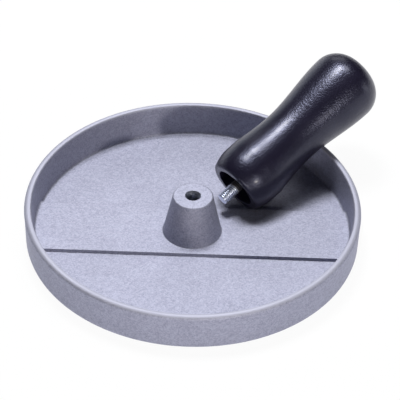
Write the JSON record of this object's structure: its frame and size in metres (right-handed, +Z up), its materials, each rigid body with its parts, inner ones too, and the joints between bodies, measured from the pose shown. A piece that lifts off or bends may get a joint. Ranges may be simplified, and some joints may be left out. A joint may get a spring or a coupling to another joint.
{
  "type": "burger press",
  "caption": "Round cast aluminium burger press plate with an upright rim and a tapped cone boss; its black screw-on handle lies unscrewed in the plate.",
  "frame": {"origin": "centre of the press plate's underside", "axes": "+Z up along the boss's tapped hole; X along the raised band; the loose handle lies in the +X +Y quarter"},
  "size_m": [0.166, 0.1624, 0.0602],
  "materials": {
    "cast_aluminium": "fine-grained matt cast surface with a slight sparkle",
    "black_moulding": "glossy moulded black",
    "plated_steel": "bright plated thread"
  },
  "bodies": {
    "plate": {"press_plate": "cast_aluminium"},
    "handle": {"handle_grip": "black_moulding", "handle_stud": "plated_steel"}
  },
  "joints": [
    {"name": "handle_lift", "type": "slide", "parent": "plate", "child": "handle", "axis": [0, 0, 1], "range_m": [0, 0.12]}
  ]
}
